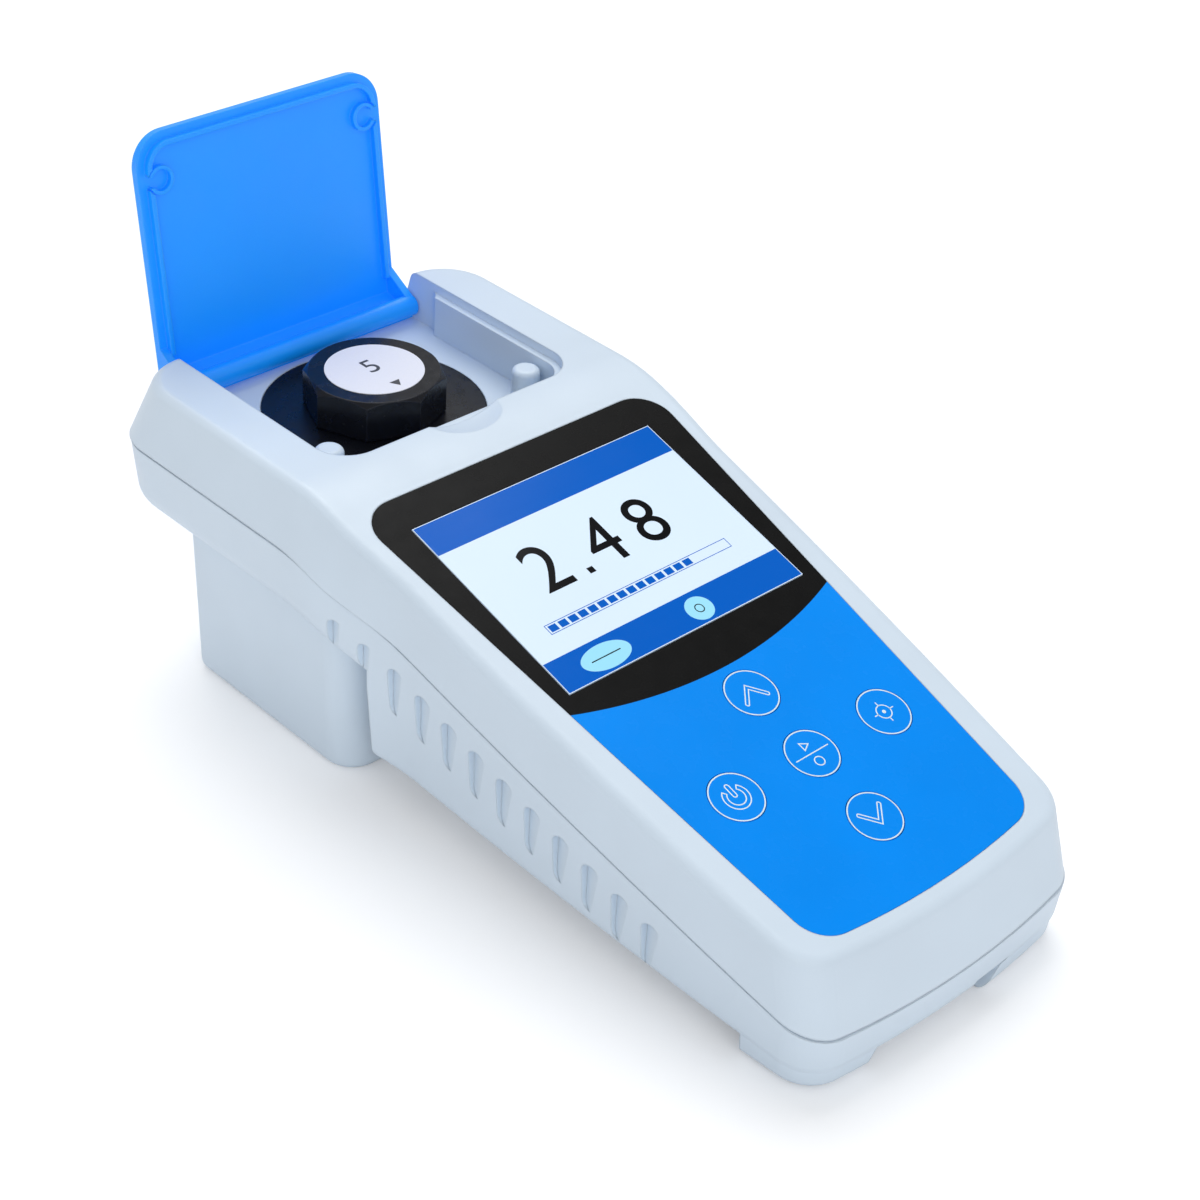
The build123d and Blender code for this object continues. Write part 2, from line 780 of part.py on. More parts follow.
def make_battery_cover():
    """Cover under the cells, tilting on its rounded rear edge."""
    width = bay_width + 2 * (cover_ledge - cover_fit)
    end = bay_length / 2 + cover_ledge - cover_fit
    thickness = cover_thickness - cover_gap
    start = end - thickness / 2
    side = make_face([
        Line((-end, 0), (start, 0)),
        ThreePointArc((start, 0), (end, thickness / 2), (start, thickness)),
        Line((start, thickness), (-end, thickness)),
        Line((-end, thickness), (-end, 0)),
    ])
    return bay_plane * extrude(Plane.YZ * side, width / 2, both=True)


def make_battery_seal():
    """Sealing ring on the inside of the battery cover."""
    width, length = bay_width - 2 - 2 * cover_fit, bay_length - 2 - 2 * cover_fit
    low = cover_thickness - cover_gap
    ring = bay_box(width, length, low, low + seal_height)
    return ring - bay_box(width - 2 * seal_width, length - 2 * seal_width, 0, 10)


def make_case_screws():
    """Six screws driven from below through the bottom shell into the top shell."""
    screws = []
    for x, y in screw_places:
        seat = layer_z(y, parting_depth) - seam_half - screw_grip
        shaft = standing(screw_radius, seat, seat + screw_grip + seam + screw_bite, x, y)
        head = standing(screw_head_radius, seat - screw_head, seat, x, y)
        screws.append(shaft + head)
    return screws + [mirror(screw, Plane.YZ) for screw in screws]


def group(solids):
    """Separate solids of one kind kept together in one node."""
    return Compound(children=list(solids))


nodes = {
    "top_shell": make_top_shell(),
    "bottom_shell": make_bottom_shell(),
    "case_gasket": make_gasket(),
    "rubber_feet": group(make_feet()),
    "front_film": make_film(),
    "display_window": in_face(Rectangle(screen_width, screen_height), 0, film_thickness),
    "display_panel": in_face(
        Rectangle(screen_width + 2 * panel_margin, screen_height + 2 * panel_margin),
        film_thickness + 0.05, panel_thickness,
    ),
    "display_carrier": make_carrier(),
    "main_board": make_board(),
    "key_switches": group(make_switches()),
    "board_screws": group(make_board_screws()),
    "lid": make_lid(),
    "lid_hinge_pins": group(make_hinge_pins()),
    "well_collar": make_collar(),
    "sample_well": make_well(),
    "vial_glass": make_glass(),
    "vial_cap": make_cap(),
    "vial_label": standing(label_radius, cap_top, cap_top + label_thickness),
    "cap_liner": standing(neck_radius, neck_top, liner_top - 0.05),
    "sample_liquid": standing(glass_radius - glass_wall - 0.05, glass_bottom + 1.5 * glass_wall + 0.05, fill_level),
    "battery_tray": make_battery_tray(),
    "battery_contacts": group(make_contacts()),
    "battery_cover": make_battery_cover(),
    "battery_seal": make_battery_seal(),
    "case_screws": group(make_case_screws()),
}
for name, (u, v) in key_places.items():
    nodes[name] = make_key(u, v)
for number, x in enumerate(cell_xs, 1):
    nodes[f"battery_{number}"] = make_battery(x)
for name, angle in beam_angles.items():
    nodes[name] = make_sensor(angle)
    nodes[name + "_board"] = make_sensor_board(angle)
    nodes[name + "_lens"] = radial(angle, seat_start + 0.1, lens_thickness, barrel_bore - lens_fit)

os.makedirs("parts", exist_ok=True)
for name, piece in nodes.items():
    export_step(piece, f"parts/{name}.step")
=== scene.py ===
import math

import bmesh
import bpy
from mathutils import Matrix, Vector


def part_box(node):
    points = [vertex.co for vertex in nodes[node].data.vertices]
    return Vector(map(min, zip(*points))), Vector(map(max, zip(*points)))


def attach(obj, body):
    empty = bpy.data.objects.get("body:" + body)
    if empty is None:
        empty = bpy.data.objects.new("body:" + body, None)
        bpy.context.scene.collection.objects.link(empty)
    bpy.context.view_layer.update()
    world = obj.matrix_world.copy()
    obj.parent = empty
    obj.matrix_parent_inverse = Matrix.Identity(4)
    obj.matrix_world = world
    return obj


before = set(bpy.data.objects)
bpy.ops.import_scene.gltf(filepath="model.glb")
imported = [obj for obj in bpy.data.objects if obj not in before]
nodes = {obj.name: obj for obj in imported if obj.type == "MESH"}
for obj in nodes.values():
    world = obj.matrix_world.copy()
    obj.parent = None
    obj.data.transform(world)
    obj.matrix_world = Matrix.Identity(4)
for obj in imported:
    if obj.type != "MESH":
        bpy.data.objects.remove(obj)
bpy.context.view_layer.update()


# Bottom shell
# The lower half of the case: the deep block round the sample well, the battery bulge and the
# front feet in one moulding of pale blue-grey ABS, with a fine spark-eroded skin.

def new_material(name):
    """An empty node material, with its shader, its output and the piece's own coordinates."""
    material = bpy.data.materials.new(name)
    material.use_nodes = True
    tree = material.node_tree
    tree.nodes.clear()
    output = tree.nodes.new("ShaderNodeOutputMaterial")
    shader = tree.nodes.new("ShaderNodeBsdfPrincipled")
    place = tree.nodes.new("ShaderNodeTexCoord")
    tree.links.new(shader.outputs["BSDF"], output.inputs["Surface"])
    return material, tree, shader, place.outputs["Object"]


def noise(tree, place, scale, detail=2.0):
    """Noise over the piece's own coordinates; scale is in features per metre."""
    texture = tree.nodes.new("ShaderNodeTexNoise")
    texture.inputs["Scale"].default_value = scale
    texture.inputs["Detail"].default_value = detail
    tree.links.new(place, texture.inputs["Vector"])
    return texture.outputs["Fac"]


def spread(tree, value, low, high, start=0.3, end=0.7):
    """Maps a noise value onto a range of its own."""
    ramp = tree.nodes.new("ShaderNodeMapRange")
    ramp.inputs["From Min"].default_value = start
    ramp.inputs["From Max"].default_value = end
    ramp.inputs["To Min"].default_value = low
    ramp.inputs["To Max"].default_value = high
    tree.links.new(value, ramp.inputs["Value"])
    return ramp.outputs["Result"]


def mixed(tree, factor, first, second):
    """A colour between two, by a factor from a texture; each is a colour or a socket."""
    mix = tree.nodes.new("ShaderNodeMix")
    mix.data_type = "RGBA"
    tree.links.new(factor, mix.inputs["Factor"])
    for socket, value in ((mix.inputs["A"], first), (mix.inputs["B"], second)):
        if isinstance(value, bpy.types.NodeSocket):
            tree.links.new(value, socket)
        else:
            socket.default_value = (*value, 1.0)
    return mix.outputs["Result"]


def shade(colour, factor):
    """The same colour, lighter or darker."""
    return tuple(min(1.0, channel * factor) for channel in colour)


def edge_highlight_and_rub(tree, radius):
    """Where edges are, for painting them paler as a highlight: the angle between the surface and
    its normal once it is rounded.
    """
    rounded = tree.nodes.new("ShaderNodeBevel")
    rounded.samples = 4
    rounded.inputs["Radius"].default_value = radius
    flat = tree.nodes.new("ShaderNodeNewGeometry")
    dot = tree.nodes.new("ShaderNodeVectorMath")
    dot.operation = "DOT_PRODUCT"
    tree.links.new(rounded.outputs["Normal"], dot.inputs[0])
    tree.links.new(flat.outputs["Normal"], dot.inputs[1])
    return spread(tree, dot.outputs["Value"], 1.0, 0.0, 0.90, 0.995), rounded.outputs["Normal"]


def moulded_plastic(
    name, colour, roughness, grain=2200.0, depth=0.00002, highlight_and_rub=0.35, shine=0.5
):
    """Moulded plastic: faint cloudiness, a fine skin, handling haze, and edges painted paler as a
    highlight, in patches like rubbing.
    """
    material, tree, shader, place = new_material(name)
    shader.inputs["Specular IOR Level"].default_value = shine
    cloud = spread(tree, noise(tree, place, 38.0), 0.0, 1.0)
    body = mixed(tree, cloud, shade(colour, 0.975), shade(colour, 1.02))
    # Edges are painted paler as a highlight along the rounded edges, in noisy patches like rubbing.
    edge, rounded = edge_highlight_and_rub(tree, 0.0006)
    highlight_and_wear = tree.nodes.new("ShaderNodeMath")
    highlight_and_wear.operation = "MULTIPLY"
    tree.links.new(edge, highlight_and_wear.inputs[0])
    tree.links.new(spread(tree, noise(tree, place, 240.0, 3.0), 0.0, highlight_and_rub), highlight_and_wear.inputs[1])
    pale = tuple(channel + (1.0 - channel) * 0.25 for channel in colour)
    tree.links.new(mixed(tree, highlight_and_wear.outputs[0], body, pale), shader.inputs["Base Color"])
    haze = spread(tree, noise(tree, place, 130.0, 4.0), roughness - 0.05, roughness + 0.06)
    tree.links.new(haze, shader.inputs["Roughness"])
    skin = tree.nodes.new("ShaderNodeBump")
    skin.inputs["Strength"].default_value = 0.35
    skin.inputs["Distance"].default_value = depth
    tree.links.new(noise(tree, place, grain), skin.inputs["Height"])
    tree.links.new(rounded, skin.inputs["Normal"])
    tree.links.new(skin.outputs["Normal"], shader.inputs["Normal"])
    return material


def finish(material, *names):
    """Gives CAD nodes their finish."""
    for name in names:
        nodes[name].data.materials.clear()
        nodes[name].data.materials.append(material)


shell_colour = (0.635, 0.735, 0.835)
shell_plastic = moulded_plastic("shell_plastic", shell_colour, 0.37)
finish(shell_plastic, "bottom_shell")


# Foot pads
# Two round pads of grey rubber, glued into pockets in the front feet. They are cut from sheet,
# and stay matt, with dust in the skin.

def soft_rubber(name, colour):
    """Matt rubber with dust in its skin."""
    material, tree, shader, place = new_material(name)
    dust = spread(tree, noise(tree, place, 420.0, 5.0), 0.0, 1.0, 0.45, 0.8)
    tree.links.new(mixed(tree, dust, colour, (0.16, 0.16, 0.16)), shader.inputs["Base Color"])
    tree.links.new(spread(tree, noise(tree, place, 900.0), 0.7, 0.9), shader.inputs["Roughness"])
    skin = tree.nodes.new("ShaderNodeBump")
    skin.inputs["Strength"].default_value = 0.5
    skin.inputs["Distance"].default_value = 0.00004
    tree.links.new(noise(tree, place, 1500.0, 3.0), skin.inputs["Height"])
    tree.links.new(skin.outputs["Normal"], shader.inputs["Normal"])
    return material


pad_rubber = soft_rubber("pad_rubber", (0.26, 0.30, 0.36))
finish(pad_rubber, "rubber_feet")


# Sample well and its light barrels
# A tube of matt black plastic that takes the vial, with a barrel for the lamp and one for each
# of two light sensors. Each barrel holds a glass lens, a sensor can and a small board.

well_plastic = moulded_plastic("well_plastic", (0.012, 0.012, 0.014), 0.55)
finish(well_plastic, "sample_well", "light_source", "scatter_detector", "transmission_detector")


def clear_glass(name, tint, roughness=0.02):
    """Clear glass with a trace of wiping on it."""
    material, tree, shader, place = new_material(name)
    shader.inputs["Transmission Weight"].default_value = 1.0
    shader.inputs["IOR"].default_value = 1.5
    smear = spread(tree, noise(tree, place, 160.0, 4.0), 0.0, 1.0)
    tree.links.new(mixed(tree, smear, tint, shade(tint, 0.97)), shader.inputs["Base Color"])
    wiped = spread(tree, noise(tree, place, 260.0, 4.0), roughness, roughness + 0.05)
    tree.links.new(wiped, shader.inputs["Roughness"])
    return material


lens_glass = clear_glass("lens_glass", (0.95, 0.97, 0.98))
finish(lens_glass, "light_source_lens", "scatter_detector_lens", "transmission_detector_lens")


def circuit_board(name):
    """Green lacquer over the fine relief of copper tracks."""
    material, tree, shader, place = new_material(name)
    tracks = tree.nodes.new("ShaderNodeTexBrick")
    tracks.inputs["Scale"].default_value = 240.0
    tracks.inputs["Mortar Size"].default_value = 0.08
    tree.links.new(place, tracks.inputs["Vector"])
    lacquer = mixed(tree, tracks.outputs["Fac"], (0.012, 0.105, 0.040), (0.030, 0.200, 0.080))
    tree.links.new(lacquer, shader.inputs["Base Color"])
    tree.links.new(spread(tree, noise(tree, place, 500.0), 0.25, 0.4), shader.inputs["Roughness"])
    relief = tree.nodes.new("ShaderNodeBump")
    relief.inputs["Distance"].default_value = 0.00004
    tree.links.new(tracks.outputs["Fac"], relief.inputs["Height"])
    tree.links.new(relief.outputs["Normal"], shader.inputs["Normal"])
    return material


board_lacquer = circuit_board("board_lacquer")
finish(board_lacquer, "light_source_board", "scatter_detector_board", "transmission_detector_board")


# Main board, its switches and its screws
# A lacquered board under the face with a small press switch below each key. Four plated screws
# hold it up to the top shell's standoffs.

finish(board_lacquer, "main_board")
switch_plastic = moulded_plastic("switch_plastic", (0.03, 0.03, 0.032), 0.4)
finish(switch_plastic, "key_switches")


def bright_metal(name, colour, roughness):
    """Plated or turned metal with fine scratches and dull patches."""
    material, tree, shader, place = new_material(name)
    shader.inputs["Metallic"].default_value = 1.0
    dull = spread(tree, noise(tree, place, 700.0, 4.0), 0.0, 1.0)
    tree.links.new(mixed(tree, dull, colour, shade(colour, 0.8)), shader.inputs["Base Color"])
    patches = spread(tree, noise(tree, place, 1400.0, 3.0), roughness - 0.08, roughness + 0.12)
    tree.links.new(patches, shader.inputs["Roughness"])
    return material


plated_steel = bright_metal("plated_steel", (0.62, 0.62, 0.64), 0.3)
finish(plated_steel, "board_screws", "case_screws", "lid_hinge_pins")


# Battery bay
# Four AA cells lie side by side in a black tray with sprung contacts at both ends. The cover
# below them tilts on its rear edge and closes on a rubber ring.

finish(well_plastic, "battery_tray")
spring_brass = bright_metal("spring_brass", (0.72, 0.56, 0.28), 0.3)
finish(spring_brass, "battery_contacts")


def cell_wrap(name, band_y):
    """The printed sleeve of a cell: a pale band at its plus end, and dark for the rest."""
    material, tree, shader, place = new_material(name)
    split = tree.nodes.new("ShaderNodeSeparateXYZ")
    tree.links.new(place, split.inputs["Vector"])
    band = spread(tree, split.outputs["Y"], 0.0, 1.0, band_y, band_y + 0.0002)
    body = mixed(tree, band, (0.018, 0.020, 0.024), (0.62, 0.40, 0.10))
    scuff = spread(tree, noise(tree, place, 320.0, 4.0), 0.0, 0.25)
    tree.links.new(mixed(tree, scuff, body, (0.5, 0.5, 0.5)), shader.inputs["Base Color"])
    tree.links.new(spread(tree, noise(tree, place, 600.0), 0.2, 0.35), shader.inputs["Roughness"])
    return material


finish(cell_wrap("cell_wrap", -0.092), "battery_1", "battery_2", "battery_3", "battery_4")
seal_rubber = soft_rubber("seal_rubber", (0.03, 0.03, 0.032))
finish(seal_rubber, "battery_seal", "case_gasket")
finish(shell_plastic, "battery_cover")


# Display
# A colour screen behind a clear window flush with the face, held by a black frame over the
# board. It is lit from behind, and shows dark figures over a level bar, between two blue bands.
# The window takes the colour of the lit ground, and the picture lies on it as thin layers.

finish(well_plastic, "display_carrier")
face_slope = math.radians(16.0)
display_centre = (0.0, -0.074, 0.0548743)
face_matrix = (
    Matrix.Translation(display_centre)
    @ Matrix.Rotation(face_slope, 4, "X")
    @ Matrix.Scale(0.001, 4)
)
print_height = 0.02


def lit_screen(name, colour, glow):
    """A part of the lit picture under clear glass, a little uneven in its backlight."""
    material, tree, shader, place = new_material(name)
    uneven = spread(tree, noise(tree, place, 30.0), 0.0, 1.0)
    tint = mixed(tree, uneven, shade(colour, 0.985), shade(colour, 1.01))
    tree.links.new(tint, shader.inputs["Base Color"])
    tree.links.new(tint, shader.inputs["Emission Color"])
    shader.inputs["Emission Strength"].default_value = glow
    shader.inputs["Specular IOR Level"].default_value = 0.07
    tree.links.new(spread(tree, noise(tree, place, 90.0), 0.10, 0.16), shader.inputs["Roughness"])
    return material


def printed(name, flat, material, body, height=0.0, surface=face_matrix):
    """Turns a flat bmesh, drawn in millimetres, into a thin layer of print on a surface."""
    walls = bmesh.ops.extrude_face_region(flat, geom=flat.faces[:])
    raised = [item for item in walls["geom"] if isinstance(item, bmesh.types.BMVert)]
    bmesh.ops.translate(flat, verts=raised, vec=(0.0, 0.0, print_height))
    bmesh.ops.recalc_face_normals(flat, faces=flat.faces[:])
    bmesh.ops.translate(flat, verts=flat.verts[:], vec=(0.0, 0.0, height))
    flat.transform(surface)
    mesh = bpy.data.meshes.new(name)
    flat.to_mesh(mesh)
    flat.free()
    piece = bpy.data.objects.new(name, mesh)
    bpy.context.scene.collection.objects.link(piece)
    mesh.materials.append(material)
    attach(piece, body)
    return piece


def flat_plate(left, low, right, high):
    """A rectangle on the face."""
    flat = bmesh.new()
    bmesh.ops.create_grid(flat, x_segments=1, y_segments=1, size=0.5)
    bmesh.ops.scale(flat, verts=flat.verts[:], vec=(right - left, high - low, 1.0))
    bmesh.ops.translate(
        flat, verts=flat.verts[:], vec=((left + right) / 2, (low + high) / 2, 0.0)
    )
    return flat


def flat_disc(u, v, radius, stretch=1.0):
    """A disc, or an oval stretched across the face."""
    flat = bmesh.new()
    bmesh.ops.create_circle(flat, cap_ends=True, radius=radius, segments=72)
    bmesh.ops.scale(flat, verts=flat.verts[:], vec=(stretch, 1.0, 1.0))
    bmesh.ops.translate(flat, verts=flat.verts[:], vec=(u, v, 0.0))
    return flat


def hollowed(flat, line):
    """Leaves only an outline of this width round a flat shape."""
    bmesh.ops.inset_region(
        flat, faces=flat.faces[:], thickness=line, use_even_offset=True, use_boundary=True
    )
    outline = {face for face in flat.faces if any(edge.is_boundary for edge in face.edges)}
    middle = [face for face in flat.faces if face not in outline]
    bmesh.ops.delete(flat, geom=middle, context="FACES")
    return flat


def together(*flats):
    """Several flat shapes as one print."""
    whole = bmesh.new()
    for flat in flats:
        mesh = bpy.data.meshes.new("part_of_print")
        flat.to_mesh(mesh)
        flat.free()
        whole.from_mesh(mesh)
        bpy.data.meshes.remove(mesh)
    return whole


screen_ground = lit_screen("screen_ground", (0.70, 0.83, 0.97), 0.07)
screen_blue = lit_screen("screen_blue", (0.0, 0.105, 0.515), 0.10)
screen_ink = lit_screen("screen_ink", (0.003, 0.003, 0.004), 0.0)
screen_cyan = lit_screen("screen_cyan", (0.33, 0.72, 0.90), 0.10)
finish(screen_ground, "display_window", "display_panel")

half_width, half_height, band, border_line = 32.0, 24.0, 8.1, 0.16
bands = together(
    flat_plate(-half_width, half_height - band, half_width, half_height),
    flat_plate(-half_width, -half_height, half_width, -half_height + band),
)
screen_bands = printed("screen_bands", bands, screen_blue, "housing")

frame_line = hollowed(
    flat_plate(-half_width, -half_height, half_width, half_height), border_line
)
screen_border = printed("screen_border", frame_line, screen_ground, "housing", print_height)

bar_left, bar_right, bar_low, bar_high = -25.2, 24.0, -10.9, -8.4
bar_line, bar_indent, bar_gap = 0.14, 0.55, 0.45
segment_width, segment_pitch, segment_count = 1.95, 2.58, 15
level = [hollowed(flat_plate(bar_left, bar_low, bar_right, bar_high), bar_line)]
for number in range(segment_count):
    left = bar_left + bar_indent + number * segment_pitch
    level.append(
        flat_plate(left, bar_low + bar_gap, left + segment_width, bar_high - bar_gap)
    )
level_bar = printed("level_bar", together(*level), screen_blue, "housing")

oval_u, disc_u, hint_v, hint_radius = -19.2, 6.0, -20.2, 3.0
oval_stretch, disc_stretch = 2.05, 1.08
hints = together(
    flat_disc(oval_u, hint_v, hint_radius, oval_stretch),
    flat_disc(disc_u, hint_v, hint_radius, disc_stretch),
)
menu_hints = printed("menu_hints", hints, screen_cyan, "housing", print_height)
rule_reach, rule_half, ring_radius, ring_width = 3.7, 0.12, 1.1, 0.22
hint_marks = together(
    flat_plate(oval_u - rule_reach, hint_v - rule_half, oval_u + rule_reach, hint_v + rule_half),
    hollowed(flat_disc(disc_u, hint_v, ring_radius), ring_width),
)
menu_marks = printed("menu_marks", hint_marks, screen_ink, "housing", 2 * print_height)


def figure(text, u, v, height):
    """One figure, made a mesh of this height and centred at this place."""
    curve = bpy.data.curves.new("figure", "FONT")
    curve.body = text
    curve.size = 1.0
    holder = bpy.data.objects.new("figure", curve)
    bpy.context.scene.collection.objects.link(holder)
    bpy.context.view_layer.update()
    mesh = bpy.data.meshes.new_from_object(holder)
    bpy.data.objects.remove(holder)
    flat = bmesh.new()
    flat.from_mesh(mesh)
    bpy.data.meshes.remove(mesh)
    bmesh.ops.remove_doubles(flat, verts=flat.verts[:], dist=0.0001)
    xs = [vert.co.x for vert in flat.verts]
    ys = [vert.co.y for vert in flat.verts]
    centre = Vector(((min(xs) + max(xs)) / 2, (min(ys) + max(ys)) / 2, 0.0))
    bmesh.ops.translate(flat, verts=flat.verts[:], vec=-centre)
    size = height / (max(ys) - min(ys))
    bmesh.ops.scale(flat, verts=flat.verts[:], vec=(size, size, 1.0))
    bmesh.ops.translate(flat, verts=flat.verts[:], vec=(u, v, 0.0))
    return flat


figure_v, figure_height = 3.45, 11.9
point_left, point_low, point_size = -7.5, -2.4, 1.5
reading = together(
    figure("2", -14.8, figure_v, figure_height),
    flat_plate(point_left, point_low, point_left + point_size, point_low + point_size),
    figure("4", 0.4, figure_v, figure_height),
    figure("8", 12.6, figure_v, figure_height),
)
screen_reading = printed("screen_reading", reading, screen_ink, "housing")


# Top shell
# The upper half of the case, moulded in the same plastic: the level head with its sample
# recess, and the long sloped face. Six screws from below hold it to the lower half.

finish(shell_plastic, "top_shell")


# Face film
# A polyester film, printed on its back and glued into a shallow bed in the face. It is black
# round the display and bright blue below a bowed edge.

film_arc_centre, film_arc_radius, ink_edge = 71.1, 105.2, 0.05


def printed_film(name, black, blue):
    """Glossy film, black inside the bowed edge and blue outside it."""
    material, tree, shader, place = new_material(name)
    turn = tree.nodes.new("ShaderNodeMapping")
    turn.vector_type = "TEXTURE"
    turn.inputs["Location"].default_value = face_matrix @ Vector((0.0, film_arc_centre, 0.0))
    turn.inputs["Rotation"].default_value = (face_slope, 0.0, 0.0)
    turn.inputs["Scale"].default_value = (0.001, 0.001, 0.001)
    tree.links.new(place, turn.inputs["Vector"])
    flatten = tree.nodes.new("ShaderNodeVectorMath")
    flatten.operation = "MULTIPLY"
    flatten.inputs[1].default_value = (1.0, 1.0, 0.0)
    tree.links.new(turn.outputs["Vector"], flatten.inputs[0])
    distance = tree.nodes.new("ShaderNodeVectorMath")
    distance.operation = "LENGTH"
    tree.links.new(flatten.outputs["Vector"], distance.inputs[0])
    near, far = film_arc_radius - ink_edge, film_arc_radius + ink_edge
    edge = spread(tree, distance.outputs["Value"], 0.0, 1.0, near, far)
    ink = spread(tree, noise(tree, place, 45.0), 0.0, 1.0)
    blue_ink = mixed(tree, ink, shade(blue, 0.97), shade(blue, 1.02))
    tree.links.new(mixed(tree, edge, black, blue_ink), shader.inputs["Base Color"])
    shader.inputs["Specular IOR Level"].default_value = 0.07
    gloss = spread(tree, noise(tree, place, 220.0, 3.0), 0.22, 0.30)
    tree.links.new(gloss, shader.inputs["Roughness"])
    peel = tree.nodes.new("ShaderNodeBump")
    peel.inputs["Strength"].default_value = 0.2
    peel.inputs["Distance"].default_value = 0.00001
    tree.links.new(noise(tree, place, 900.0), peel.inputs["Height"])
    tree.links.new(peel.outputs["Normal"], shader.inputs["Normal"])
    return material


film_blue = (0.0, 0.262, 0.905)
film_print = printed_film("film_print", (0.0035, 0.0035, 0.0035), film_blue)
finish(film_print, "front_film")


# Keys
# Five round moulded keys, level with the film and in its blue, that press small switches on the
# board. Each is printed with a white ring and a white sign.

key_print = moulded_plastic("key_print", film_blue, 0.26, depth=0.00001, highlight_and_rub=0.1, shine=0.07)
white_ink = moulded_plastic("white_ink", (0.78, 0.90, 0.93), 0.35, depth=0.000005, highlight_and_rub=0.0)
key_ring, ring_line, sign_line = 5.62, 0.26, 0.24
key_places = {
    "key_up": (0.0, -41.7),
    "key_cal": (20.5, -58.8),
    "key_enter": (0.0, -58.8),
    "key_power": (-20.5, -58.8),
    "key_down": (0.0, -76.1),
}


def outlined_chevron(flip):
    """A hollow chevron with rounded ends, pointing up the face, or down it."""
    flat = bmesh.new()
    right_leg = [(3.45, -1.75), (2.75, -2.45)]
    left_leg = [(-2.75, -2.45), (-3.45, -1.75)]
    outline = [(0.0, 2.3), *right_leg, (0.0, 0.75), *left_leg]
    corners = [flat.verts.new((x, y, 0.0)) for x, y in outline]
    flat.faces.new(corners)
    ends = [corners[1], corners[2], corners[4], corners[5]]
    bmesh.ops.bevel(
        flat, geom=ends, offset=0.42, offset_type="OFFSET", segments=5, profile=0.5,
        affect="VERTICES", material=-1,
    )
    bmesh.ops.scale(flat, verts=flat.verts[:], vec=(1.0, flip, 1.0))
    bmesh.ops.recalc_face_normals(flat, faces=flat.faces[:])
    return hollowed(flat, sign_line)


def rounded_bar(width, height, u=0.0, v=0.0):
    """A bar with round ends."""
    flat = flat_plate(-width / 2, -height / 2, width / 2, height / 2)
    bmesh.ops.bevel(
        flat, geom=flat.verts[:], offset=min(width, height) * 0.49, offset_type="OFFSET",
        segments=6, profile=0.5, affect="VERTICES", material=-1,
    )
    bmesh.ops.translate(flat, verts=flat.verts[:], vec=(u, v, 0.0))
    return flat


def open_arc(inner, outer, start, sweep):
    """A band of an arc, spun from one short edge."""
    flat = bmesh.new()
    first = Vector((math.cos(start), math.sin(start), 0.0))
    ends = [flat.verts.new(first * inner), flat.verts.new(first * outer)]
    edge = flat.edges.new(ends)
    bmesh.ops.spin(
        flat, geom=[*ends, edge], cent=(0, 0, 0), axis=(0, 0, 1), angle=sweep, steps=48,
        use_duplicate=False,
    )
    bmesh.ops.recalc_face_normals(flat, faces=flat.faces[:])
    return flat


def power_sign():
    """The usual on and off sign, hollow like the chevrons."""
    inner, outer, gap = 1.75, 2.95, math.radians(38)
    bar_width, bar_height, bar_v = 1.15, 3.4, 1.6
    arc = hollowed(open_arc(inner, outer, math.pi / 2 + gap, 2 * (math.pi - gap)), sign_line)
    bar = hollowed(rounded_bar(bar_width, bar_height, 0.0, bar_v), sign_line)
    return together(arc, bar)


def target_sign():
    """A small ring with a dot and four ticks, for setting against a standard."""
    dot, ring, reach, length = 0.42, 1.75, 2.05, 1.1
    shapes = [flat_disc(0.0, 0.0, dot), hollowed(flat_disc(0.0, 0.0, ring), sign_line)]
    for x, y in ((1, 0), (0, 1), (-1, 0), (0, -1)):
        wide, tall = (length / 2, sign_line / 2) if x else (sign_line / 2, length / 2)
        u, v = reach * x, reach * y
        shapes.append(flat_plate(u - wide, v - tall, u + wide, v + tall))
    return together(*shapes)


def enter_sign():
    """A rule with a small arrowhead over it and a ring under it."""
    rule_reach, rule_half, ring_v, ring_radius = 4.4, 0.12, -2.1, 1.15
    head = bmesh.new()
    corners = [head.verts.new((x, y, 0.0)) for x, y in ((-0.9, 0.95), (1.15, 2.1), (-0.9, 3.25))]
    head.faces.new(corners)
    bmesh.ops.recalc_face_normals(head, faces=head.faces[:])
    rule = flat_plate(-rule_reach, -rule_half, rule_reach, rule_half)
    ring = hollowed(flat_disc(0.0, ring_v, ring_radius), sign_line)
    return together(hollowed(head, sign_line), rule, ring)


key_signs = {
    "key_up": outlined_chevron(1.0),
    "key_down": outlined_chevron(-1.0),
    "key_power": power_sign(),
    "key_cal": target_sign(),
    "key_enter": enter_sign(),
}
for key, (u, v) in key_places.items():
    finish(key_print, key)
    marks = together(hollowed(flat_disc(0.0, 0.0, key_ring), ring_line), key_signs[key])
    bmesh.ops.translate(marks, verts=marks.verts[:], vec=(u, v, 0.0))
    sign = printed(key + "_sign", marks, white_ink, key)


# Well collar
# A disc of polished black plastic let into the recess's floor round the vial. Its short spigot
# drops over the mouth of the well, and keeps stray light off the sample.

def polished_black(name, colour, roughness):
    """Polished black moulding with hairline handling marks."""
    material, tree, shader, place = new_material(name)
    edge, rounded = edge_highlight_and_rub(tree, 0.0004)
    cloud = spread(tree, noise(tree, place, 60.0), 0.0, 1.0)
    body = mixed(tree, cloud, colour, shade(colour, 1.6))
    # Edges are painted four times lighter than the body: a painted highlight along the rounded
    # edges.
    tree.links.new(mixed(tree, edge, body, shade(colour, 4.0)), shader.inputs["Base Color"])
    hairlines = spread(tree, noise(tree, place, 380.0, 6.0), roughness - 0.05, roughness + 0.08)
    tree.links.new(hairlines, shader.inputs["Roughness"])
    shader.inputs["Specular IOR Level"].default_value = 0.22
    tree.links.new(rounded, shader.inputs["Normal"])
    return material


